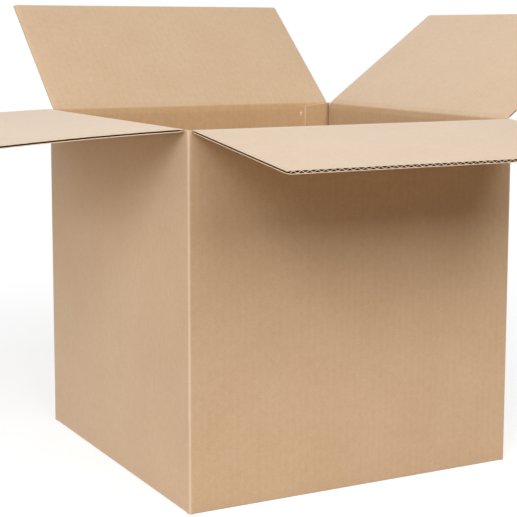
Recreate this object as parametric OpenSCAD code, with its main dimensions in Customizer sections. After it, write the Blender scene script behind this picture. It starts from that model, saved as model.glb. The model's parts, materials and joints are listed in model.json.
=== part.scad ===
// Open-topped corrugated shipping box with its four top flaps folded out.
// Millimetres, +Z up. The origin is the middle of the base, on the floor.
// The front wall faces -Y and the left wall faces -X.
// The front and back flaps close last, on top of the left and right flaps.

/* [Box] */
// Outside length of the front and back walls
box_length = 306; // [306:1:480]
// Outside length of the left and right walls
box_width = 306; // [240:1:306]
// Height of the top creases above the floor
crease_height = 300; // [160:1:420]

/* [Board] */
// Thickness of the corrugated board
board = 3; // [2.7:0.05:3.3]
// Thickness of each of its two flat paper sheets
liner = 0.35; // [0.25:0.05:0.45]
// Thickness of the wavy paper sheet between them
medium = 0.3; // [0.2:0.05:0.4]
// Length of one wave of that sheet
flute_pitch = 6.26; // [5.5:0.01:7.5]

/* [Top flaps] */
// Lean of the front flap, outwards from upright
front_lean = 97; // [60:0.5:120]
// Lean of the back flap
back_lean = 49; // [30:0.5:120]
// Lean of the left flap
left_lean = 93; // [60:0.5:120]
// Lean of the right flap
right_lean = 53.5; // [30:0.5:120]
// Gap where two facing flaps meet when closed
meeting_gap = 3; // [1:0.5:8]
// Air between the closed side flaps and the closed front and back flaps
closing_gap = 0.2; // [0.1:0.05:0.4]
// Air between a flap's side and the board beside its slot
slot_clear = 0.3; // [0.2:0.05:1]

/* [Creases] */
// Board crushed on each side of a top crease
crush = 5.5; // [5.2:0.1:8]
// Thickness of the crushed board at the fold
fold_thick = 1; // [0.8:0.05:1.2]
// Air between the fold of the wall and the root of the flap
fold_clear = 0.2; // [0.15:0.05:0.4]
// Distance from the creases to the cut ends of the corner folds
corner_cut = 0.8; // [0.5:0.1:2]

/* [Glue tab] */
// Width of the tab, glued inside the back wall at its right-hand end
tab_width = 25; // [15:1:40]
// Distance of the tab's ends from the top crease and from the bottom flap
tab_gap = 2; // [1.5:0.5:6]
// Slant of each end of the tab over its width
tab_slant = 3; // [0:0.5:12]
// Distance of the back wall's raw edge from the right wall's outside face
joint_gap = 1; // [0.5:0.1:2.5]

/* [Bottom] */
// Seam between the two outer bottom flaps
bottom_seam = 0.5; // [0.3:0.1:0.5]
// Slit beside each outer bottom flap
bottom_slit = 1; // [0.5:0.1:3]

/* [Hidden] */
$fn = 48;

kraft = "#C8A47A";

// Outside and inside faces of the walls
half_l = box_length / 2;
half_w = box_width / 2;
in_l = half_l - board;
in_w = half_w - board;

// Hinge lines: depth behind the outside face, and rise above the crease height.
// An upright flap is flush with its wall, and all four flaps are level when folded flat outwards.
// Folded inwards, the front and back flaps then lie on top of the side flaps.
over_pivot = (board + closing_gap) / 2;
under_pivot = 0;
over_rise = over_pivot - board / 2;
under_rise = under_pivot - board / 2;

// Flap sizes: facing front and back flaps meet at the middle, and all four are equally long
over_reach = half_w - over_pivot - meeting_gap / 2;
under_reach = over_reach + over_rise - under_rise;
over_width = 2 * (in_l - slot_clear);
side_lip = in_w - board;
under_width = 2 * (side_lip - slot_clear);

wall_top = crease_height - crush;
corner_top = crease_height - corner_cut;
fold_radius = fold_thick / 2;

// Inside shape of a flute, as shares of its pitch on each side of its middle
flute_floor = 0.1;
flute_slope = 0.25;
flute_mouth = 0.42;

// Open space of one flute, with its mouth at the upper flat sheet
module flute(pitch) {
    crown = board / 2 - liner;
    floor_y = medium - crown;
    slope_y = medium / sqrt(2);
    right = [[flute_mouth * pitch, crown], [flute_slope * pitch, slope_y], [flute_floor * pitch, floor_y]];
    left = [for (i = [2:-1:0]) [-right[i][0], right[i][1]]];
    polygon(concat(right, left));
}

// Section across the flutes: two flat sheets and a wave between them, cut half way up a wave at both sides
module board_section(width) {
    waves = round(width / flute_pitch - 0.5) + 0.5;
    pitch = width / waves;
    difference() {
        translate([-width / 2, -board / 2])
            square([width, board]);
        for (i = [-1:floor(waves)]) {
            translate([(i + 0.75) * pitch - width / 2, 0])
                flute(pitch);
            translate([(i + 1.25) * pitch - width / 2, 0])
                mirror([0, 1])
                    flute(pitch);
        }
    }
}

// Solid with a section drawn in Y and Z, centred along X
module bar(length, points) {
    translate([-length / 2, 0, 0])
        rotate([90, 0, 90])
            linear_extrude(length)
                polygon(points);
}

// An upright flap with its hinge line on the X axis and its outside face towards -Y
module upright_flap(width, reach, pivot, rise) {
    root = crush - rise;
    tip = fold_radius + fold_clear;
    translate([0, board / 2 - pivot, root])
        linear_extrude(reach - root)
            board_section(width);
    bar(width, [[-pivot, root], [-pivot * tip / root, tip], [fold_radius, tip], [board - pivot, root]]);
}

// The crushed top of a wall, with a round fold on its hinge line, which is the X axis
module wall_lip(length, pivot, rise) {
    full = -crush - rise;
    shoulder = fold_radius / sqrt(2);
    bar(length, [[-pivot, full], [board - pivot, full], [shoulder, -shoulder], [0, 0]]);
    translate([-length / 2, 0, 0])
        rotate([0, 90, 0])
            cylinder(r = fold_radius, h = length);
}

// Moves a hinge line from the X axis to the top of a wall that faces -Y
module at_wall(face, pivot, rise) {
    translate([0, pivot - face, crease_height + rise])
        children();
}

// Quarter round of one board thickness, along +Z from the origin
module fold(length) {
    rotate_extrude(angle = 90)
        square([board, length]);
}

// A box given by its two opposite corners
module block(low, high) {
    translate(low)
        cube(high - low);
}

module walls() {
    for (y = [-half_w, in_w])
        block([-in_l, y, board], [in_l, y + board, wall_top]);
    block([-half_l, -in_w, board], [-in_l, in_w, wall_top]);
    block([in_l, -in_w, board], [half_l, side_lip, wall_top]);
}

// Upright folds at three corners, with full thickness beside the slots
module corners() {
    tall = corner_top - corner_cut;
    for (corner = [[-in_l, -in_w, 180], [in_l, -in_w, 270], [-in_l, in_w, 90]])
        translate([corner[0], corner[1], corner_cut])
            rotate([0, 0, corner[2]])
                fold(tall);
    for (strip = [[-half_l, -in_w], [-half_l, side_lip], [in_l, -in_w]])
        block([strip[0], strip[1], corner_cut], [strip[0] + board, strip[1] + board, corner_top]);
}

module top_lips() {
    for (turn = [0, 180])
        rotate([0, 0, turn])
            at_wall(half_w, over_pivot, over_rise)
                wall_lip(2 * in_l, over_pivot, over_rise);
    for (turn = [-90, 90])
        rotate([0, 0, turn])
            at_wall(half_l, under_pivot, under_rise)
                wall_lip(2 * side_lip, under_pivot, under_rise);
}

// The fourth corner: a tab is folded from the right wall and glued inside the back wall, which runs on past it
module glue_joint() {
    foot = board + tab_gap;
    head = crease_height - tab_gap;
    block([in_l, in_w, corner_cut], [half_l - joint_gap, half_w, wall_top]);
    translate([in_l, side_lip, foot])
        fold(head - foot);
    translate([in_l, in_w, 0])
        rotate([90, 0, 0])
            linear_extrude(board)
                polygon([[0, foot], [0, head], [-tab_width, head - tab_slant], [-tab_width, foot + tab_slant]]);
}

// Four closed bottom flaps, glued together: the front and back ones below, the side ones on top of them
module bottom() {
    for (turn = [0, 180])
        rotate([0, 0, turn]) {
            translate([-in_l, -in_w, board])
                rotate([0, 90, 0])
                    rotate([0, 0, 270])
                        fold(2 * in_l);
            translate([in_l, -side_lip, board])
                rotate([-90, 0, 0])
                    fold(2 * side_lip);
            block([bottom_slit - in_l, -in_w, 0], [in_l - bottom_slit, -bottom_seam / 2, board]);
            block([-in_l, slot_clear - side_lip, board], [-meeting_gap / 2, side_lip - slot_clear, 2 * board]);
        }
}

module carton() {
    color(kraft) {
        walls();
        corners();
        top_lips();
        glue_joint();
        bottom();
    }
}

// A flap that closes on top of the side flaps
module over_flap(lean) {
    color(kraft)
        at_wall(half_w, over_pivot, over_rise)
            rotate([lean, 0, 0])
                upright_flap(over_width, over_reach, over_pivot, over_rise);
}

// A side flap, which closes first
module under_flap(lean) {
    color(kraft)
        at_wall(half_l, under_pivot, under_rise)
            rotate([lean, 0, 0])
                upright_flap(under_width, under_reach, under_pivot, under_rise);
}

module front_flap() over_flap(front_lean);

module back_flap() rotate([0, 0, 180]) over_flap(back_lean);

module left_flap() rotate([0, 0, -90]) under_flap(left_lean);

module right_flap() rotate([0, 0, 90]) under_flap(right_lean);

carton();
front_flap();
back_flap();
left_flap();
right_flap();
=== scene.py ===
# %% [markdown]
# An open cardboard box
#
# The real thing is one sheet of corrugated board: two flat kraft papers with a wavy paper glued between
# them. It is creased, slotted, folded into a tube and glued along one corner. The bottom is closed, and
# the four top flaps stand open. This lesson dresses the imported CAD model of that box, so the first step
# loads it.

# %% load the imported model
import json
import math

import bmesh
import bpy
import numpy as np
from mathutils import Matrix, Vector


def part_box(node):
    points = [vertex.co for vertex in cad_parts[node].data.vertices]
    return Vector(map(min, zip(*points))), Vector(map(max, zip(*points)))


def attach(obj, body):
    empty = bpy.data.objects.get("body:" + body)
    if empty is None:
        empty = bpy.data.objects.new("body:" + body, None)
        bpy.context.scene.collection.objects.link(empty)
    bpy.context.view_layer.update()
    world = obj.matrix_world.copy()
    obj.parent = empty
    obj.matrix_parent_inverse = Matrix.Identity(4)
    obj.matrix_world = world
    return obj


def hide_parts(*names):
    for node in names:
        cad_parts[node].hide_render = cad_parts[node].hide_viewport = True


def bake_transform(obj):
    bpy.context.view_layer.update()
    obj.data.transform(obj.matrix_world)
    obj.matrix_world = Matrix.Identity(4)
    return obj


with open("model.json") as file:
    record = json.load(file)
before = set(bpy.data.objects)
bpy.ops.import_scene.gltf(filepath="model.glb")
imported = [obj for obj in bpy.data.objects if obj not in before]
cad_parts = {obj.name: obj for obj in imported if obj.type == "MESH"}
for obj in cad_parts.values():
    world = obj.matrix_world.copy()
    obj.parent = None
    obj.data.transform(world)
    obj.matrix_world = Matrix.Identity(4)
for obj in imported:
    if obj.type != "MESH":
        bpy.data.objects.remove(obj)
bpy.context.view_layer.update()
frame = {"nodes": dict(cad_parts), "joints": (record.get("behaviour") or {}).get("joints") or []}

print("nodes of the frame:", sorted(frame["nodes"]))

# %% [markdown]
# Sizes
#
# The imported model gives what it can: the hinge lines of the side flaps lie on the walls' outside faces,
# half a board below the creases, and the flaps' own boxes say how wide they are. The sizes of the board
# are typed, in metres. Its papers are drawn thicker than real ones of about 0.35 mm, because so thin an
# edge would be lost in the picture. A wall ends at the seam, a little below its crease. The piece above
# the seam carries the crease and the flap, because it has to bend when the flap moves.

# %% sizes in metres
MM = 0.001
JOINTS = {joint["child"]: joint for joint in frame["joints"]}

# Half of a wall, and half of the width of a flap that closes on top and of one that closes under it
HALF = abs(JOINTS["left_flap"]["pos_m"][0])
OVER_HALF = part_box("front_flap")[1].x
UNDER_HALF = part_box("left_flap")[1].y

BOARD = 3 * MM
PAPER = 0.5 * MM
WAVE_PAPER = 0.46 * MM
FLUTE_PITCH = 6.3 * MM
CREASE = JOINTS["left_flap"]["pos_m"][2] + BOARD / 2
SEAM = CREASE - 9 * MM
CORNER_TOP = CREASE + 0.3 * MM
print("walls %.0f mm long outside, creases %.0f mm up" % (2 * HALF / MM, CREASE / MM))

# %% [markdown]
# Finishes
#
# A colour is written as it looks on screen and turned to linear light once. One function adds a node,
# sets its values and links its inputs, so that each material below reads as a short recipe.


# %% helpers for materials
def tone(code):
    """Linear light of a colour that is written as on screen."""
    channels = [int(code[i:i + 2], 16) / 255 for i in (1, 3, 5)]
    return (*[c / 12.92 if c <= 0.04045 else ((c + 0.055) / 1.055) ** 2.4 for c in channels], 1.0)


# A Mix node has sockets for numbers, vectors and colours under the same names, so its colours go by number
COLOUR_A, COLOUR_B, MIXED = 6, 7, 2


def node(tree, kind, settings=None, inputs=None, out=0):
    """Add a node with its settings, link or set its inputs, and give back one of its outputs."""
    made = tree.nodes.new(kind)
    for name, value in (settings or {}).items():
        setattr(made, name, value)
    for name, value in (inputs or {}).items():
        if isinstance(value, bpy.types.NodeSocket):
            tree.links.new(value, made.inputs[name])
        else:
            made.inputs[name].default_value = value
    return made.outputs[out]


def new_material(name):
    """A material with an empty node tree."""
    material = bpy.data.materials.new(name)
    material.use_nodes = True
    tree = material.node_tree
    tree.nodes.clear()
    return material, tree


def close(material, surface):
    """Link the finished surface to the material's output."""
    tree = material.node_tree
    output = tree.nodes.new("ShaderNodeOutputMaterial")
    tree.links.new(surface, output.inputs["Surface"])
    print(material.name, "has", len(tree.nodes), "nodes")


print("the middle grey of a screen is %.2f in linear light" % tone("#808080")[0])

# %% [markdown]
# Kraft liner, the patterns
#
# The flat papers are unbleached kraft. Its pulp is a little cloudy, its fibres lie mostly across the
# flutes, and bits of bark show as darker specks. The flutes underneath show through as faint stripes.
# Each of these is one pattern with a size in millimetres. All of them sit on the sheet map, which says
# where a point lies on the flat sheet, so they run round the folds as on the real sheet.

# %% patterns of the kraft liner
CLOUD = 45 * MM
PATCH = 6 * MM
kraft_liner, tree = new_material("kraft_liner_paper")
sheet = node(tree, "ShaderNodeUVMap", {"uv_map": "sheet"})
clouds = node(tree, "ShaderNodeTexNoise", {"noise_dimensions": "2D"},
              {"Vector": sheet, "Scale": 1 / CLOUD, "Detail": 3.0, "Roughness": 0.55})
patches = node(tree, "ShaderNodeTexNoise", {"noise_dimensions": "2D"},
               {"Vector": sheet, "Scale": 1 / PATCH, "Detail": 4.0, "Roughness": 0.65})

# Real fibres are about 0.05 mm thick, too fine to show here, so they are drawn coarser
FIBRE_LENGTH = 3.5 * MM
FIBRE_THICKNESS = 0.7 * MM
along = node(tree, "ShaderNodeMapping", None,
             {"Vector": sheet, "Scale": (1 / FIBRE_LENGTH, 1 / FIBRE_THICKNESS, 1.0)})
fibres = node(tree, "ShaderNodeTexNoise", {"noise_dimensions": "2D"},
              {"Vector": along, "Scale": 1.0, "Detail": 3.0, "Roughness": 0.7})

SPECK_LENGTH = 1.5 * MM
SPECK_THICKNESS = 0.9 * MM
speck_grid = node(tree, "ShaderNodeMapping", None,
                  {"Vector": sheet, "Scale": (1 / SPECK_LENGTH, 1 / SPECK_THICKNESS, 1.0)})
speck_noise = node(tree, "ShaderNodeTexNoise", {"noise_dimensions": "2D"},
                   {"Vector": speck_grid, "Scale": 1.0, "Detail": 1.0, "Roughness": 0.4})
specks = node(tree, "ShaderNodeMapRange", {"interpolation_type": "SMOOTHSTEP"},
              {"Value": speck_noise, "From Min": 0.66, "From Max": 0.76, "To Max": 0.25})

run_of_sheet = node(tree, "ShaderNodeSeparateXYZ", None, {0: sheet})
phase = node(tree, "ShaderNodeMath", {"operation": "MULTIPLY"},
             {0: run_of_sheet, 1: 2 * math.pi / FLUTE_PITCH})
stripes = node(tree, "ShaderNodeMath", {"operation": "SINE"}, {0: phase})
print("patterns:", len(tree.nodes), "nodes")

# %% [markdown]
# Kraft liner, the colour and the surface
#
# The patterns add up to one value that goes from a darker to a lighter brown. Three things change that
# colour: the specks, the folds and the inside of the box. The folds are paler, partly because stretched
# fibres look paler and partly as a painted highlight along the fold. The inside gets a deeper tone than
# the bounced light of a render makes it there, which is painted shade. Folds and inside are numbers that
# the mesh carries at its points. The surface is matt, with a soft sheen from loose fibres, which makes
# paper pale when it is seen at a flat angle.

# %% colour and surface of the kraft liner
cloudy = node(tree, "ShaderNodeMath", {"operation": "MULTIPLY_ADD"}, {0: clouds, 1: 0.35, 2: 0.1})
patchy = node(tree, "ShaderNodeMath", {"operation": "MULTIPLY_ADD"}, {0: patches, 1: 0.6, 2: cloudy})
fibrous = node(tree, "ShaderNodeMath", {"operation": "MULTIPLY_ADD"}, {0: fibres, 1: 0.5, 2: patchy})
striped = node(tree, "ShaderNodeMath", {"operation": "MULTIPLY_ADD"}, {0: stripes, 1: 0.03, 2: fibrous})
shade = node(tree, "ShaderNodeMapRange", None, {"Value": striped, "From Min": 0.45, "From Max": 1.2})
brown = node(tree, "ShaderNodeMix", {"data_type": "RGBA"},
             {"Factor": shade, COLOUR_A: tone("#C2A27F"), COLOUR_B: tone("#D0B595")}, MIXED)
specked = node(tree, "ShaderNodeMix", {"data_type": "RGBA"},
               {"Factor": specks, COLOUR_A: brown, COLOUR_B: tone("#8C6842")}, MIXED)
# Paler folds: partly stretched fibres, partly a painted highlight
folded = node(tree, "ShaderNodeAttribute", {"attribute_name": "fold"}, out="Fac")
paler = node(tree, "ShaderNodeMath", {"operation": "MULTIPLY"}, {0: folded, 1: 0.4})
stretched_and_highlit = node(tree, "ShaderNodeMix", {"data_type": "RGBA"},
                 {"Factor": paler, COLOUR_A: specked, COLOUR_B: tone("#E6D5C0")}, MIXED)
# Painted shade: the inside of the box is multiplied by a deeper tone
inside = node(tree, "ShaderNodeAttribute", {"attribute_name": "inside"}, out="Fac")
colour = node(tree, "ShaderNodeMix", {"data_type": "RGBA", "blend_type": "MULTIPLY"},
              {"Factor": inside, COLOUR_A: stretched_and_highlit, COLOUR_B: tone("#F5EAD7")}, MIXED)

relief = node(tree, "ShaderNodeMath", {"operation": "MULTIPLY_ADD"}, {0: stripes, 1: 0.25, 2: fibres})
bump = node(tree, "ShaderNodeBump", None, {"Height": relief, "Strength": 0.3, "Distance": 0.02 * MM})
rough = node(tree, "ShaderNodeMapRange", None, {"Value": fibres, "To Min": 0.58, "To Max": 0.74})
close(kraft_liner, node(tree, "ShaderNodeBsdfPrincipled", None,
                        {"Base Color": colour, "Roughness": rough, "Normal": bump, "IOR": 1.47,
                         "Specular IOR Level": 0.25, "Sheen Weight": 0.4, "Sheen Roughness": 0.5}))

# %% [markdown]
# Cut edges
#
# A cut through kraft shows short torn fibres, which scatter more light than the face does, so a cut is
# paler. The thin papers of the flaps have the palest cuts. The board's own cut ends, at the tab and
# beside the slots, are a little duller. Both are the same recipe with two colours.

# %% cut edges
TORN_FIBRE = 1.2 * MM


def cut_paper(name, dull, pale):
    """Matt torn fibres in two tones."""
    material, tree = new_material(name)
    spot = node(tree, "ShaderNodeTexCoord", out="Object")
    fuzz = node(tree, "ShaderNodeTexNoise", None, {"Vector": spot, "Scale": 1 / TORN_FIBRE, "Detail": 2.0})
    colour = node(tree, "ShaderNodeMix", {"data_type": "RGBA"},
                  {"Factor": fuzz, COLOUR_A: tone(dull), COLOUR_B: tone(pale)}, MIXED)
    close(material, node(tree, "ShaderNodeBsdfPrincipled", None, {"Base Color": colour, "Roughness": 0.9}))
    return material


cut_edge = cut_paper("cut_kraft_edge", "#DCC2A0", "#F6E8D4")
board_edge = cut_paper("cut_board_edge", "#DCC3A2", "#EDDAC0")

# %% [markdown]
# Fluting
#
# The wavy paper is made of recycled pulp. Only the ends of its long narrow flutes can be seen, and most
# light that goes in there is lost. Its dark red brown is painted shade for that lost light, and it also
# covers the backs of the flat papers, which face into the flutes. It has no gloss.

# %% fluting
PULP = 3 * MM
fluting_and_flute_shade, tree = new_material("recycled_fluting_and_flute_shade")
spot = node(tree, "ShaderNodeTexCoord", out="Object")
pulp = node(tree, "ShaderNodeTexNoise", None, {"Vector": spot, "Scale": 1 / PULP, "Detail": 4.0})
dark = node(tree, "ShaderNodeMix", {"data_type": "RGBA"},
            {"Factor": pulp, COLOUR_A: tone("#5E2E12"), COLOUR_B: tone("#733D1A")}, MIXED)
tooth = node(tree, "ShaderNodeBump", None, {"Height": pulp, "Strength": 0.4, "Distance": 0.1 * MM})
close(fluting_and_flute_shade, node(tree, "ShaderNodeBsdfPrincipled", None,
                    {"Base Color": dark, "Roughness": 0.9, "Normal": tooth, "Specular IOR Level": 0.0}))

# %% [markdown]
# Selecting in code
#
# An operator works on everything that is selected, so each step first picks its own faces, edges or
# points. Picking by place in code does what a click does by hand. Two places count as the same within a
# hair, and as close within a tenth of a millimetre. Loading leaves the CAD nodes selected, so they are
# let go first.

# %% helpers for shaping
HAIR = 0.01 * MM
NEAR = 0.1 * MM


def deselect():
    """Leave edit mode, with nothing selected."""
    if bpy.context.object and bpy.context.object.mode != "OBJECT":
        bpy.ops.object.mode_set(mode="OBJECT")
    bpy.ops.object.select_all(action="DESELECT")


def name_piece(name):
    """Name the object that an operator has just made."""
    piece = bpy.context.object
    piece.name = name
    piece.data.name = name
    return piece


def pick(piece, kind, test):
    """Select the points, edges or faces of a piece whose corner points pass a test."""
    bpy.ops.mesh.select_mode(type=kind)
    bpy.ops.mesh.select_all(action="DESELECT")
    mesh = bmesh.from_edit_mesh(piece.data)
    parts = {"VERT": mesh.verts, "EDGE": mesh.edges, "FACE": mesh.faces}[kind]
    for part in parts:
        points = [part.co] if kind == "VERT" else [corner.co for corner in part.verts]
        part.select_set(bool(test(points)))
    mesh.select_flush_mode()
    bmesh.update_edit_mesh(piece.data)


def extrude(step):
    """Pull what is selected out by a step."""
    bpy.ops.mesh.extrude_region_move(TRANSFORM_OT_translate={"value": step})


deselect()
print("selected after loading:", len(bpy.context.selected_objects))

# %% [markdown]
# The walls
#
# The tube of the box is one sheet that starts at the glue tab and goes round the four walls. By hand, the
# quickest way is to draw the tab as an upright plane and pull its edge from corner to corner.

# %% pull the sheet round the box
TAB_WIDTH = 27.4 * MM
TAB_FACE = HALF - BOARD
TAB_EDGE = TAB_FACE - TAB_WIDTH
JOINT_EDGE = HALF - 1 * MM

deselect()
bpy.ops.mesh.primitive_plane_add(size=1, location=(0, 0, 0))
walls = name_piece("carton_board")
bpy.ops.object.mode_set(mode="EDIT")
bpy.ops.mesh.select_all(action="SELECT")
bpy.ops.transform.rotate(value=math.pi / 2, orient_axis="X", center_override=(0, 0, 0))
bpy.ops.transform.resize(value=(HALF - TAB_EDGE, 1, CORNER_TOP), center_override=(0, 0, 0))
bpy.ops.transform.translate(value=((HALF + TAB_EDGE) / 2, TAB_FACE, CORNER_TOP / 2))
pick(walls, "EDGE", lambda points: all(p.x > HALF - MM for p in points))
for step in [(0, -HALF - TAB_FACE, 0), (-2 * HALF, 0, 0), (0, 2 * HALF, 0), (HALF + JOINT_EDGE, 0, 0)]:
    extrude(step)
print("sheet:", len(bmesh.from_edit_mesh(walls.data).faces), "panels")

# %% [markdown]
# Tab and folds
#
# The tab's ends are cut at a slant, so that it slips in easily when the box is glued. The upright folds
# come after the panels, as a bevel on the four corner edges, so that they all get the same radius.

# %% slant the tab and round the folds
TAB_SLANT = 3 * MM
TAB_FOOT = 8 * MM
FOLD_RADIUS = 1.8 * MM
FOLD_STEPS = 6
WALL_FOLDS = [(HALF, TAB_FACE), (HALF, -HALF), (-HALF, -HALF), (-HALF, HALF)]


def on_tab_edge(p, upper):
    """Whether a point is the upper or the lower end of the tab's free edge."""
    return 0 < p.x < TAB_EDGE + MM and abs(p.y - TAB_FACE) < MM and (p.z > CREASE / 2) == upper


def upright(points):
    """Whether an edge runs straight up."""
    a, b = points
    return (a.xy - b.xy).length < HAIR


def on_fold(points):
    """Whether an edge is one of the corners that are folded."""
    p = points[0]
    return upright(points) and any(abs(p.x - x) + abs(p.y - y) < MM for x, y in WALL_FOLDS)


for upper, rise in [(True, -TAB_SLANT), (False, TAB_FOOT)]:
    pick(walls, "VERT", lambda points: on_tab_edge(points[0], upper))
    bpy.ops.transform.translate(value=(0, 0, rise))
pick(walls, "EDGE", on_fold)
bpy.ops.mesh.bevel(offset=FOLD_RADIUS, segments=FOLD_STEPS, profile=0.5, affect="EDGES")
print("sheet with folds:", len(bmesh.from_edit_mesh(walls.data).faces), "faces")

# %% [markdown]
# Rows and columns
#
# A flat panel of a real box is never quite flat. Extra rows and columns let the walls swell a little, and
# lines at exact places make the slots that part the flaps at the top. The wall is a hair wider there than
# the flap. Two more lines beside each corner bound a groove, where the board will go from full thickness
# to crushed.

# %% divide the walls and cut the slots
SLOT_HAIR = 0.15 * MM
SPAN_OVER = OVER_HALF + SLOT_HAIR
SPAN_UNDER = UNDER_HALF + SLOT_HAIR
GROOVE = (UNDER_HALF + 0.5 * MM, UNDER_HALF + 1.2 * MM)
CUTS = 17
LONG_EDGE = 100 * MM
ON_WALL = 0.5 * MM


def bisect_all(point, normal):
    """Cut the whole mesh along a plane, without removing anything."""
    bpy.ops.mesh.select_all(action="SELECT")
    bpy.ops.mesh.bisect(plane_co=point, plane_no=normal)


def above_wall(points):
    """Whether a face lies above the seam of a wall, where the flap's own piece takes over."""
    m = sum(points, Vector()) / len(points)
    on_side = abs(m.x) > HALF - ON_WALL and abs(m.y) < SPAN_UNDER
    on_front = m.y < ON_WALL - HALF and abs(m.x) < SPAN_OVER
    on_back = m.y > HALF - ON_WALL and m.x > -SPAN_OVER
    return m.z > SEAM and (on_side or on_front or on_back)


pick(walls, "EDGE", upright)
bpy.ops.mesh.subdivide(number_cuts=CUTS)
pick(walls, "EDGE", lambda points: (points[0] - points[1]).length > LONG_EDGE)
bpy.ops.mesh.subdivide(number_cuts=CUTS)
bisect_all((0, 0, SEAM), (0, 0, 1))
for side in (-1, 1):
    for place in (SPAN_OVER, *GROOVE):
        bisect_all((side * place, 0, 0), (1, 0, 0))
    bisect_all((0, side * SPAN_UNDER, 0), (0, 1, 0))
pick(walls, "FACE", above_wall)
bpy.ops.mesh.delete(type="FACE")
print("divided sheet:", len(bmesh.from_edit_mesh(walls.data).faces), "faces")

# %% [markdown]
# The bottom
#
# The front and back walls turn under the box into the two outer bottom flaps, which meet at a seam. The
# side walls turn in above them, so from outside they end in a short round fold. Each is pulled from the
# wall's bottom edge and bevelled.

# %% fold the bottom
BOTTOM_SLIT = 1.4 * MM
BOTTOM_SPAN = TAB_FACE - BOTTOM_SLIT
HALF_SEAM = 0.25 * MM
SIDE_TURN = 3.6 * MM
BOTTOM_RADIUS = 1.2 * MM
BOTTOM_STEPS = 4
BOTTOM_EDGES = [
    # axis across the wall, half length of the fold, how far it turns in
    (1, BOTTOM_SPAN, HALF - HALF_SEAM),
    (0, SPAN_UNDER, SIDE_TURN),
]


def on_bottom_edge(points, axis, face, span):
    """Whether an edge lies on the floor, in a wall's outside face and within a span."""
    return all(p.z < HAIR and abs(p[axis] - face) < NEAR and abs(p[1 - axis]) < span + NEAR / 2
               for p in points)


for side in (1, -1):
    bisect_all((side * BOTTOM_SPAN, 0, 0), (1, 0, 0))
for axis, span, reach in BOTTOM_EDGES:
    for side in (-1, 1):
        inward = [0.0, 0.0, 0.0]
        inward[axis] = -side * reach
        pick(walls, "EDGE", lambda points: on_bottom_edge(points, axis, side * HALF, span))
        extrude(inward)
        pick(walls, "EDGE", lambda points: on_bottom_edge(points, axis, side * HALF, span))
        bpy.ops.mesh.bevel(offset=BOTTOM_RADIUS, segments=BOTTOM_STEPS, profile=0.5, affect="EDGES")
bpy.ops.mesh.select_all(action="SELECT")
bpy.ops.mesh.remove_doubles(threshold=HAIR / 10)
bpy.ops.mesh.normals_make_consistent(inside=False)
bpy.ops.object.mode_set(mode="OBJECT")
front_face = max(walls.data.polygons, key=lambda face: -face.center.y * face.area)
if front_face.normal.y > 0:
    walls.data.flip_normals()
print("sheet with bottom:", len(walls.data.polygons), "faces")

# %% [markdown]
# Swell
#
# A wall that has carried things swells by less than a millimetre in the middle. Half a wave across and
# half a wave up give that, with nothing moved at the folds, the floor and the seam.

# %% swell the walls
SWELL = 0.7 * MM
for vertex in walls.data.vertices:
    p = vertex.co
    rise = math.sin(math.pi * min(max(p.z, 0.0) / SEAM, 1.0))
    for axis in (0, 1):
        if abs(abs(p[axis]) - HALF) < NEAR:
            bow = math.cos(math.pi * p[1 - axis] / (2 * HALF))
            p[axis] += math.copysign(SWELL * rise * bow, p[axis])
print("front wall swells to %.1f mm" % (-min(vertex.co.y for vertex in walls.data.vertices) / MM))

# %% [markdown]
# Thickness
#
# The sheet gets its board thickness on the inside, from a Solidify modifier. At a fold the board is
# crushed to less than a third, which leaves the groove that runs down each inside corner. A point group
# tells the modifier where the board is thinner.

# %% add the board thickness
CRUSHED = 0.3


def at_fold(p):
    """Distance of a point from the axis of its upright fold, and how near it is to the middle of the turn,
    from 0 to 1. Both are 0 on a flat panel."""
    for x, y in WALL_FOLDS:
        beyond = (abs(p.x) - abs(x) + FOLD_RADIUS, abs(p.y) - abs(y) + FOLD_RADIUS)
        if p.x * x > 0 and p.y * y > 0 and min(beyond) > -HAIR and max(beyond) < FOLD_RADIUS + MM:
            turn = math.atan2(max(beyond[1], 0.0), max(beyond[0], 0.0))
            return math.hypot(*beyond), math.sin(2 * turn)
    return 0.0, 0.0


def thickness_left(p):
    """Share of its thickness that the board keeps."""
    in_fold = at_fold(p)[0] > 0
    in_groove = abs(p.x) > GROOVE[1] - NEAR and abs(p.y) > TAB_FACE - MM
    return CRUSHED if (in_fold or in_groove) and p.z > BOTTOM_RADIUS else 1.0


def thicken(piece, thickness, offset, group="", rim=1, back=0):
    """Give a sheet its thickness, with other materials of the piece on its cut edges and its back."""
    solid = piece.modifiers.new("thickness", "SOLIDIFY")
    solid.thickness = thickness
    solid.offset = offset
    solid.use_even_offset = True
    solid.material_offset_rim = rim
    solid.material_offset = back
    solid.vertex_group = group
    bpy.context.view_layer.objects.active = piece
    bpy.ops.object.modifier_apply(modifier=solid.name)


group = walls.vertex_groups.new(name="board_thickness")
for vertex in walls.data.vertices:
    group.add([vertex.index], thickness_left(vertex.co), "REPLACE")
walls.data.materials.append(kraft_liner)
walls.data.materials.append(board_edge)
thicken(walls, BOARD, -1, group.name)
print("board:", len(walls.data.polygons), "faces")

# %% [markdown]
# Inner bottom flaps
#
# The side walls' own bottom flaps lie inside on top of the outer ones. Each is a plane with board
# thickness, and its cut edges lie against the walls, so it needs no other finish there. Both are joined
# to the walls.

# %% inner bottom flaps
INNER_GAP = 1.5 * MM
INNER_LENGTH = TAB_FACE - INNER_GAP
INNER_CUTS = 3


def join(pieces, name):
    """Make one piece of several. The first one takes in the others."""
    deselect()
    for piece in pieces:
        piece.select_set(True)
    bpy.context.view_layer.objects.active = pieces[0]
    bpy.ops.object.join()
    return name_piece(name)


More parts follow.
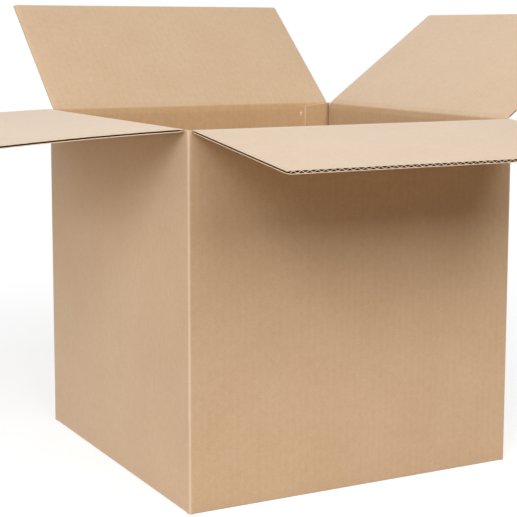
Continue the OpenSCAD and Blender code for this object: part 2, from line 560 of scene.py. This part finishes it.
leaves = []
for side in (-1, 1):
    deselect()
    bpy.ops.mesh.primitive_plane_add(size=1, location=(0, 0, 0))
    leaf = name_piece("inner_bottom_flap")
    bpy.ops.object.mode_set(mode="EDIT")
    bpy.ops.transform.resize(value=(INNER_LENGTH, 2 * UNDER_HALF, 1), center_override=(0, 0, 0))
    bpy.ops.transform.translate(value=(side * (TAB_FACE - INNER_LENGTH / 2), 0, 2 * BOARD))
    bpy.ops.mesh.subdivide(number_cuts=INNER_CUTS)
    bpy.ops.object.mode_set(mode="OBJECT")
    leaf.data.materials.append(kraft_liner)
    thicken(leaf, BOARD, -1, rim=0)
    leaves.append(leaf)
walls = join([walls, *leaves], "carton_board")
print("board with inner flaps:", len(walls.data.polygons), "faces")

# %% [markdown]
# The sheet map
#
# The paper's patterns need to know where each point lies on the flat sheet. A UV map holds that: how far
# round the box from the tab's free edge, and how high. Below the walls, the height goes on downwards
# along the bottom.

# %% lay out the sheet map
CORNERS = [(TAB_EDGE, TAB_FACE), *WALL_FOLDS, (JOINT_EDGE, HALF)]


def round_the_box(p):
    """How far from the tab's free edge the nearest point of the sheet lies, and its distance from p."""
    best, run = None, 0.0
    spot = Vector((p[0], p[1]))
    for a, b in zip(CORNERS, CORNERS[1:]):
        a, b = Vector(a), Vector(b)
        length = (b - a).length
        t = min(max((spot - a).dot(b - a) / length ** 2, 0.0), 1.0)
        gap = (spot - a.lerp(b, t)).length
        if best is None or gap < best[1]:
            best = (run + t * length, gap)
        run += length
    return best


def on_sheet(p):
    """Place of a point of the carton on the flat sheet."""
    run, gap = round_the_box(p)
    under = max(gap - BOARD, 0.0) if p.z < 3 * BOARD else 0.0
    return (run, p.z - under)


def write_map(piece, spots):
    """Write the sheet map from one spot per point, in metres."""
    layer = piece.data.uv_layers.get("sheet") or piece.data.uv_layers.new(name="sheet")
    for loop in piece.data.loops:
        layer.data[loop.index].uv = spots[loop.vertex_index]


write_map(walls, [on_sheet(vertex.co) for vertex in walls.data.vertices])
print("sheet round the box: %.0f mm" % (round_the_box((JOINT_EDGE, HALF))[0] / MM))

# %% [markdown]
# Folds and inside
#
# The two numbers that the kraft liner reads are stored at the points: how pale a fold is on its outside,
# from stretched paper and a painted highlight, and whether a point looks into the box, where the paper
# gets painted shade. Then the carton is shaded smooth round its folds and takes the place of the CAD
# solid.

# %% finish the carton
OUTSIDE_OF_FOLD = 0.8 * FOLD_RADIUS
LOOKS_UP = 0.5
FOLD_ANGLE = 35


def mark(piece, name, values):
    """Store one number per point, for a material to read."""
    attribute = piece.data.attributes.get(name) or piece.data.attributes.new(name, "FLOAT", "POINT")
    attribute.data.foreach_set("value", np.asarray(values, np.float32))


def fold_stretch_and_highlight(p):
    """How pale a point is, from stretched paper and a painted highlight: 1 in the middle of a fold's
    outside, falling to 0 where the fold ends.
    """
    radius, nearness = at_fold(p)
    return nearness if radius > OUTSIDE_OF_FOLD else 0.0


def faces_inwards(vertex):
    """Whether a point is on the inside of a wall or on top of the bottom, where the paper gets painted
    shade.
    """
    p, n = vertex.co, vertex.normal
    on_wall = n.x * p.x + n.y * p.y < 0
    on_bottom = n.z > LOOKS_UP and p.z < 3 * BOARD
    return p.z > BOARD / 2 and (on_wall or on_bottom)


def smooth(piece, degrees):
    """Shade a piece smooth, apart from edges that are sharper than an angle."""
    deselect()
    piece.select_set(True)
    bpy.context.view_layer.objects.active = piece
    bpy.ops.object.shade_smooth_by_angle(angle=math.radians(degrees))


# Paler folds, from stretched paper and a painted highlight
mark(walls, "fold", [fold_stretch_and_highlight(vertex.co) for vertex in walls.data.vertices])
# Painted shade on the inside of the walls and on top of the bottom
mark(walls, "inside", [float(faces_inwards(vertex)) for vertex in walls.data.vertices])
smooth(walls, FOLD_ANGLE)
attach(walls, "carton")
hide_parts("carton")
print("carton board:", len(walls.data.polygons), "faces")

# %% [markdown]
# The crease
#
# A flap bends at a crease, where the board was crushed so that it folds in a line. In section, the middle
# of the board runs up the wall, round a small arc and out along the flap. Both papers stay outside and
# inside of that middle line, and come close together in the crease. This class gives that section.

# %% section of a crease
BEND = 2.4 * MM
CRUSH = 6.0 * MM
CREASE_SHARE = 0.36
WALL_ROWS, BEND_ROWS, EASE_ROWS = 5, 12, 8


class Crease:
    """The folded section of a flap: where a point lies that is s along the board and t across it."""

    def __init__(self, lean, hinge, offset, reach, arch):
        self.lean, self.arch = lean, arch
        along, across = self.turn(lean)
        base = hinge + across * offset
        to_wall = (-BOARD / 2 - base.x) / along.x
        cross = base + along * to_wall
        tangent = BEND * math.tan(lean / 2)
        self.up = cross.y - tangent - SEAM
        self.arc = BEND * lean
        self.flat = reach - to_wall - tangent
        self.length = self.up + self.arc + self.flat
        self.middle = self.up + self.arc / 2

    @staticmethod
    def turn(angle):
        """Directions along the board and towards its outside face, in depth and height."""
        return Vector((math.sin(angle), math.cos(angle))), Vector((math.cos(angle), -math.sin(angle)))

    def point(self, s, t):
        """Depth beyond the wall's outside face, and height."""
        angle = min(max((s - self.up) / BEND, 0.0), self.lean)
        along, across = self.turn(angle)
        spot = Vector((-BOARD / 2, SEAM + min(s, self.up)))
        spot += Vector((BEND * (1 - math.cos(angle)), BEND * math.sin(angle)))
        beyond = max(s - self.up - self.arc, 0.0)
        share = beyond / self.flat
        spot += along * beyond - across * (self.arch * 4 * share * (1 - share))
        return spot + across * (t * self.squeeze(s))

    def squeeze(self, s):
        """Share of its thickness that the board keeps."""
        gap = abs(s - self.middle)
        reach = min(CRUSH, self.middle) if s < self.middle else CRUSH
        ease = 0.5 + 0.5 * math.cos(math.pi * min(gap / reach, 1.0))
        return 1 - (1 - CREASE_SHARE) * ease

    def above(self, s):
        """0 on the wall, 1 on the flap, and between them in the bend."""
        return min(max((s - self.up) / self.arc, 0.0), 1.0)

    def rows(self, flat_rows):
        """Places along the board: close together in the crease, wide apart on the flat."""
        start = self.up + self.arc
        wall = np.linspace(0, self.up, WALL_ROWS + 1)[:-1]
        bend = np.linspace(self.up, start, BEND_ROWS + 1)[:-1]
        ease = np.linspace(start, start + CRUSH, EASE_ROWS + 1)[:-1]
        rest = np.linspace(start + CRUSH, self.length, flat_rows)
        return np.concatenate([wall, bend, ease, rest])


print("crease: arc of %.1f mm radius" % (BEND / MM))

# %% [markdown]
# Flaps, the sizes
#
# A flap's hinge line and lean come from its joint: a closed flap lies flat, 90 degrees past upright, so
# the joint's lower limit says how far it leans at rest. A flap is as long as half a wall is inside, so all
# four would reach the same height if they stood upright. The rest is how the real flaps look: the left
# one is a little arched, the front and left creases are pale, partly from stretched paper and partly as a
# painted highlight, and the blade that cut the sides pressed the papers together there.

# %% sizes of a flap
FLAP_TOP = CREASE + TAB_FACE
PINCH_WIDTH = 3 * MM
WAVE_INSET = 2.2 * MM
FLAP_LOOKS = {
    # name: arch, paleness of its crease from stretched paper and a painted highlight, share of its
    # thickness that its sides lose
    "front_flap": (0.0, 0.6, 0.34),
    "back_flap": (0.0, 0.0, 0.62),
    "left_flap": (0.9 * MM, 0.6, 0.3),
    "right_flap": (0.0, 0.0, 0.5),
}


class Flap:
    """One flap: its directions and sizes, and the place of any point of its papers."""

    def __init__(self, name):
        hinge = Vector(JOINTS[name]["pos_m"])
        depth = hinge.xy.length - HALF
        lean = math.radians(-JOINTS[name]["range_deg"][0] - 90)
        arch, self.paleness, self.pressed = FLAP_LOOKS[name]
        self.name = name
        self.out = Vector((hinge.x, hinge.y, 0)).normalized()
        self.side = Vector((-self.out.y, self.out.x, 0))
        self.width = abs(self.side.dot(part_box(name)[1]))
        self.waves = round(2 * self.width / FLUTE_PITCH - 0.5) + 0.5
        self.crease = Crease(lean, Vector((depth, hinge.z)), -BOARD / 2 - depth, FLAP_TOP - hinge.z, arch)

    def put(self, across, s, t):
        """Where a point lies in space, and on the sheet map."""
        near = min(max(1 - (self.width - abs(across)) / PINCH_WIDTH, 0.0), 1.0)
        eased = near * near * (3 - 2 * near)
        pinch = self.pressed * self.crease.above(s) * eased
        flat = self.crease.point(s, t * (1 - pinch))
        spot = self.out * (HALF + flat.x) + self.side * across + Vector((0, 0, flat.y))
        run, _ = round_the_box(self.out * HALF + self.side * across)
        return spot, (run, CREASE + s - self.crease.middle)

    def on_liner(self, share, s, t):
        """A point of a flat paper, which is a hair wider on the wall than on the flap."""
        return self.put(share * (self.width + SLOT_HAIR * (1 - self.crease.above(s))), s, t)

    def on_wave(self, share, s):
        """A point of the wavy paper, which ends a little inside the flat ones."""
        across = share * (self.width - WAVE_INSET)
        turn = math.pi * self.waves * (across + self.width) / self.width
        height = BOARD / 2 - PAPER - WAVE_PAPER / 2
        return self.put(across, s, height * math.sin(turn))


flaps = [Flap(name) for name in FLAP_LOOKS]
for flap in flaps:
    print(flap.name, "leans %.1f degrees, with %.1f waves" % (math.degrees(flap.crease.lean), flap.waves))

# %% [markdown]
# Flaps, the papers
#
# A flap is three papers: an outside liner, an inside liner and a wave between them. Each starts as a flat
# grid with a row for each place along the board, and its points are moved to the section above. Moving
# points by a formula is the way here, because bending a sheet to an exact section by hand would take many
# small steps.

# %% bend the papers
LINER_ROWS = 18
WAVE_ROWS = 5
WAVE_STEPS = 8
SIDEWAYS = 0.5
SIDE_COLUMNS = 5
MIDDLE_COLUMNS = 19
PALE_REACH = 2.5 * MM


def bend_grid(name, columns, rows, place):
    """A flat grid whose points are then moved to place(column place, row length), with its sheet map."""
    deselect()
    bpy.ops.mesh.primitive_grid_add(x_subdivisions=len(columns) - 1, y_subdivisions=len(rows) - 1, size=1)
    paper = name_piece(name)
    spots = []
    for vertex in paper.data.vertices:
        column = round((vertex.co.x + 0.5) * (len(columns) - 1))
        row = round((vertex.co.y + 0.5) * (len(rows) - 1))
        vertex.co, spot = place(columns[column], rows[row])
        spots.append(spot)
    write_map(paper, spots)
    return paper, spots


def make_liner(flap, part, outwards):
    """A flat paper of a flap, facing outwards or inwards. Its crease is paler, from stretched paper and a
    painted highlight, and it gets painted shade where it lies inside the box.
    """
    crease = flap.crease
    t = outwards * (BOARD / 2 - PAPER / 2)
    sides = 1 - np.linspace(0, PINCH_WIDTH, SIDE_COLUMNS) / flap.width
    middle = np.linspace(-sides[-1], sides[-1], MIDDLE_COLUMNS)[1:-1]
    columns = np.concatenate([-sides, middle, sides[::-1]])
    paper, spots = bend_grid(flap.name + "_" + part, columns, crease.rows(LINER_ROWS),
                             lambda share, s: flap.on_liner(share, s, t))
    across = crease.turn(crease.lean)[1]
    outside = flap.out * across.x + Vector((0, 0, across.y))
    if paper.data.polygons[-1].normal.dot(outside) * outwards < 0:
        paper.data.flip_normals()
    heights = [height - CREASE for _, height in spots]
    # Paler crease: partly stretched paper, partly a painted highlight
    mark(paper, "fold", [flap.paleness * max(1 - abs(height) / PALE_REACH, 0.0) for height in heights])
    # Painted shade on the inside paper below the crease, where it lines the box
    deep = [1 - crease.above(height + crease.middle) for height in heights]
    mark(paper, "inside", deep if outwards < 0 else np.zeros(len(deep)))
    # The back of a flat paper faces into the flutes and takes the fluting's painted shade
    for material in (kraft_liner, cut_edge, fluting_and_flute_shade):
        paper.data.materials.append(material)
    thicken(paper, PAPER, 0, back=2)
    return paper


def make_wave(flap):
    """The wavy paper of a flap. Its two side edges get the fluting's painted shade, because they lie back
    between the liners.
    """
    columns = np.linspace(-1, 1, int(flap.waves * WAVE_STEPS) + 1)
    paper, _ = bend_grid(flap.name + "_wave", columns, flap.crease.rows(WAVE_ROWS), flap.on_wave)
    for material in (fluting_and_flute_shade, cut_edge):
        paper.data.materials.append(material)
    thicken(paper, WAVE_PAPER, 0)
    for face in paper.data.polygons:
        at_side = abs(face.center.dot(flap.side)) > flap.width - WAVE_INSET - NEAR
        if at_side and abs(face.normal.dot(flap.side)) > SIDEWAYS:
            face.material_index = 0
    return paper


papers = {flap.name: [make_liner(flap, "outside", 1), make_liner(flap, "inside", -1), make_wave(flap)]
          for flap in flaps}
print("papers:", sum(len(made) for made in papers.values()))

# %% [markdown]
# Flaps, joined
#
# The three papers become one piece that crosses the joint, from the wall below the crease to the flap
# above it. The front and left flaps turn more than 180 degrees to close, and the bend then goes the short
# way round, so any side of the papers can come to show in the crease. That is why all its faces are kraft.

# %% join the flaps
BLEND_MARGIN = 0.5 * MM
CREASE_MARGIN = 0.15
FLAP_ANGLE = 40


def hang_flap(flap, parts):
    """Join a flap's papers into one piece, with kraft all round the crease, in place of the CAD flap."""
    piece = join(parts, flap.name + "_board")
    bpy.ops.object.mode_set(mode="EDIT")
    bpy.ops.mesh.select_all(action="SELECT")
    bpy.ops.mesh.normals_make_consistent(inside=False)
    bpy.ops.object.mode_set(mode="OBJECT")
    smooth(piece, FLAP_ANGLE)
    start, _ = flap.put(0, flap.crease.up - BLEND_MARGIN, 0)
    end, _ = flap.put(0, flap.crease.up + flap.crease.arc + BLEND_MARGIN, 0)
    kraft_slot = piece.data.materials.find(kraft_liner.name)
    for face in piece.data.polygons:
        share = (face.center - start).dot(end - start) / (end - start).length_squared
        if -CREASE_MARGIN < share < 1 + CREASE_MARGIN:
            face.material_index = kraft_slot
    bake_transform(piece)
    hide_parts(flap.name)
    print(piece.name, len(piece.data.polygons), "faces, bend of %.1f mm" % (flap.crease.arc / MM))


for flap in flaps:
    hang_flap(flap, papers[flap.name])

# %% [markdown]
# A bead of glue
#
# Beside the glue tab, a little glue was squeezed out on the back wall and dried there. Dried glue is
# creamy and a little glossier than paper. The bead starts as a small ball that is flattened and pulled
# down to a drop. The half that would lie in the wall is pressed flat onto it.

# %% glue bead
MILKY = 1 * MM
dried_glue, tree = new_material("dried_glue")
spot = node(tree, "ShaderNodeTexCoord", out="Object")
milk = node(tree, "ShaderNodeTexNoise", None, {"Vector": spot, "Scale": 1 / MILKY, "Detail": 2.0})
cream = node(tree, "ShaderNodeMix", {"data_type": "RGBA"},
             {"Factor": milk, COLOUR_A: tone("#D9B99A"), COLOUR_B: tone("#EBD3BC")}, MIXED)
close(dried_glue, node(tree, "ShaderNodeBsdfPrincipled", None, {"Base Color": cream, "Roughness": 0.4}))

BEAD_PLACE = (TAB_EDGE - 4.1 * MM, TAB_FACE, CREASE - 10.6 * MM)
BEAD_RADIUS = 1 * MM
BEAD_SHAPE = (1.4, 0.9, 2.0)
DROP_BELOW = -0.6 * MM
DROP_SHAPE = (0.7, 0.8, 1.0)
DROP_STEP = (-0.2 * MM, 0, -0.5 * MM)
BEAD_ANGLE = 60

deselect()
bpy.ops.mesh.primitive_uv_sphere_add(segments=16, ring_count=10, radius=BEAD_RADIUS, location=(0, 0, 0))
bead = name_piece("glue_bead")
bpy.ops.object.mode_set(mode="EDIT")
bpy.ops.mesh.select_all(action="SELECT")
bpy.ops.transform.resize(value=BEAD_SHAPE, center_override=(0, 0, 0))
pick(bead, "VERT", lambda points: points[0].z < DROP_BELOW)
bpy.ops.transform.resize(value=DROP_SHAPE, center_override=(0, 0, 0))
bpy.ops.transform.translate(value=DROP_STEP)
pick(bead, "VERT", lambda points: points[0].y > 0)
bpy.ops.transform.resize(value=(1, 0, 1), center_override=(0, 0, 0))
bpy.ops.mesh.select_all(action="SELECT")
bpy.ops.transform.translate(value=BEAD_PLACE)
bpy.ops.mesh.normals_make_consistent(inside=False)
bpy.ops.object.mode_set(mode="OBJECT")
bead.data.materials.append(dried_glue)
round_off = bead.modifiers.new("round_off", "SUBSURF")
round_off.levels = round_off.render_levels = 1
bpy.ops.object.modifier_apply(modifier=round_off.name)
smooth(bead, BEAD_ANGLE)
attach(bead, "carton")
print(bead.name, len(bead.data.polygons), "faces")

# %% [markdown]
# Floor
#
# The box stands on a seamless sheet of white paper. What the camera sees of it glows white, and close to
# the box a part of it is plain lit card, so that the soft shadow stays. Light that bounces off it to the
# box is another matter: it is warm and strong near the box and weaker further away, which keeps the
# deep shadow under the flaps that the photograph has.

# %% floor
GLOW_FROM, GLOW_TO = 0.3, 1.2
BOUNCE_FROM, BOUNCE_TO = 0.25, 0.55
FLOOR_SIZE = 12


def looked_at(tree):
    """1 for what the camera sees, also in a mirror or through glass, and 0 for light that bounces."""
    path = tree.nodes.new("ShaderNodeLightPath")
    mirrored = node(tree, "ShaderNodeMath", {"operation": "MAXIMUM"},
                    {0: path.outputs["Is Glossy Ray"], 1: path.outputs["Is Transmission Ray"]})
    return node(tree, "ShaderNodeMath", {"operation": "MAXIMUM"},
                {0: path.outputs["Is Camera Ray"], 1: mirrored})


floor_paper, tree = new_material("seamless_backdrop_paper")
direct = looked_at(tree)
spot = node(tree, "ShaderNodeTexCoord", out="Object")
away = node(tree, "ShaderNodeVectorMath", {"operation": "LENGTH"}, {0: spot}, "Value")
glow = node(tree, "ShaderNodeMapRange", {"interpolation_type": "SMOOTHSTEP"},
            {"Value": away, "From Min": GLOW_FROM, "From Max": GLOW_TO, "To Min": 0.65, "To Max": 1.0})
seen = node(tree, "ShaderNodeMath", {"operation": "MULTIPLY"}, {0: direct, 1: glow})
far = node(tree, "ShaderNodeMapRange", None,
           {"Value": away, "From Min": BOUNCE_FROM, "From Max": BOUNCE_TO})
bounce = node(tree, "ShaderNodeMix", {"data_type": "RGBA"},
              {"Factor": far, COLOUR_A: tone("#E2D3C0"), COLOUR_B: tone("#A58B6C")}, MIXED)
pale = node(tree, "ShaderNodeMix", {"data_type": "RGBA"},
            {"Factor": direct, COLOUR_A: bounce, COLOUR_B: tone("#FFFFFF")}, MIXED)
card = node(tree, "ShaderNodeBsdfDiffuse", None, {"Color": pale, "Roughness": 0.5})
white = node(tree, "ShaderNodeEmission", None, {"Color": tone("#FFFFFF"), "Strength": 1.02})
close(floor_paper, node(tree, "ShaderNodeMixShader", None, {0: seen, 1: card, 2: white}))
deselect()
bpy.ops.mesh.primitive_plane_add(size=FLOOR_SIZE, location=(0, 0, 0))
floor = name_piece("floor")
floor.data.materials.append(floor_paper)
print("floor:", FLOOR_SIZE, "m wide")

# %% [markdown]
# World
#
# The world is white where the camera looks at it, and gives almost no light of its own, because the lamps
# do that.

# %% world
AMBIENT = 0.01
world = bpy.data.worlds.new("studio")
bpy.context.scene.world = world
world.use_nodes = True
tree = world.node_tree
tree.nodes.clear()
strength = node(tree, "ShaderNodeMapRange", None,
                {"Value": looked_at(tree), "To Min": AMBIENT, "To Max": 1.0})
sky = node(tree, "ShaderNodeBackground", None, {"Color": tone("#FFFFFF"), "Strength": strength})
output = tree.nodes.new("ShaderNodeOutputWorld")
tree.links.new(sky, output.inputs["Surface"])
print("world light:", AMBIENT)

# %% [markdown]
# Lamps
#
# Large soft boxes stand all round, as in a studio. Two in front light the front wall and make the soft
# shadow under its flap, and one on the left does the same for the left wall. Two behind light the top of
# the open flaps and the back of the box. A low one on the right and a weak one above keep the right side
# and the inside from going dark.

# %% lamps
AIM = Vector((0, 0, 0.2))
LAMPS = {
    # name: place, width and height, power
    "front_left_softbox": ((-1.5, -1.85, 1.5), (1.0, 1.2), 28),
    "front_right_softbox": ((0.1, -1.85, 1.5), (1.6, 1.2), 31),
    "left_softbox": ((-2.2, -0.15, 0.7), (1.8, 1.5), 24),
    "back_left_softbox": ((-0.6, 1.7, 1.6), (1.0, 1.3), 9),
    "back_right_softbox": ((1.2, 1.7, 1.6), (1.0, 1.3), 9),
    "right_softbox": ((2.2, 0.25, 0.25), (1.2, 0.5), 14),
    "top_softbox": ((-0.1, 0.0, 2.0), (1.6, 1.6), 7),
}
for name, (place, size, power) in LAMPS.items():
    lamp = bpy.data.lights.new(name, "AREA")
    lamp.shape = "RECTANGLE"
    lamp.size, lamp.size_y = size
    lamp.energy = power
    holder = bpy.data.objects.new(name, lamp)
    holder.location = place
    holder.rotation_euler = (AIM - Vector(place)).to_track_quat("-Z", "Y").to_euler()
    bpy.context.scene.collection.objects.link(holder)
print("lamps:", len(LAMPS))

# %% [markdown]
# Camera
#
# The camera stands in front and to the left, a little above the creases, with a long lens. Yaw turns it to
# the right, pitch down and roll about its own axis. A small shift of the lens keeps the walls nearly
# upright in the picture.

# %% camera
YAW, PITCH, ROLL = (math.radians(angle) for angle in (28.064, 7.247, 0.110))
CAMERA_PLACE = (-0.6023, -1.1089, 0.3766)
SENSOR_WIDTH = 36
FOCAL_LENGTH = 97.67
LENS_SHIFT = -0.10
ahead = Vector((math.sin(YAW) * math.cos(PITCH), math.cos(YAW) * math.cos(PITCH), -math.sin(PITCH)))
level = Vector((math.cos(YAW), -math.sin(YAW), 0))
upwards = level.cross(ahead)
right = level * math.cos(ROLL) + upwards * math.sin(ROLL)
above = upwards * math.cos(ROLL) - level * math.sin(ROLL)
lens = bpy.data.cameras.new("photo_camera")
lens.sensor_width = SENSOR_WIDTH
lens.lens = FOCAL_LENGTH
lens.shift_y = LENS_SHIFT
camera = bpy.data.objects.new("photo_camera", lens)
turned = Matrix((right, above, -ahead)).transposed().to_4x4()
camera.matrix_world = Matrix.Translation(CAMERA_PLACE) @ turned
bpy.context.scene.collection.objects.link(camera)
bpy.context.scene.camera = camera
bpy.context.scene.view_settings.view_transform = "Standard"
print("camera at", CAMERA_PLACE)
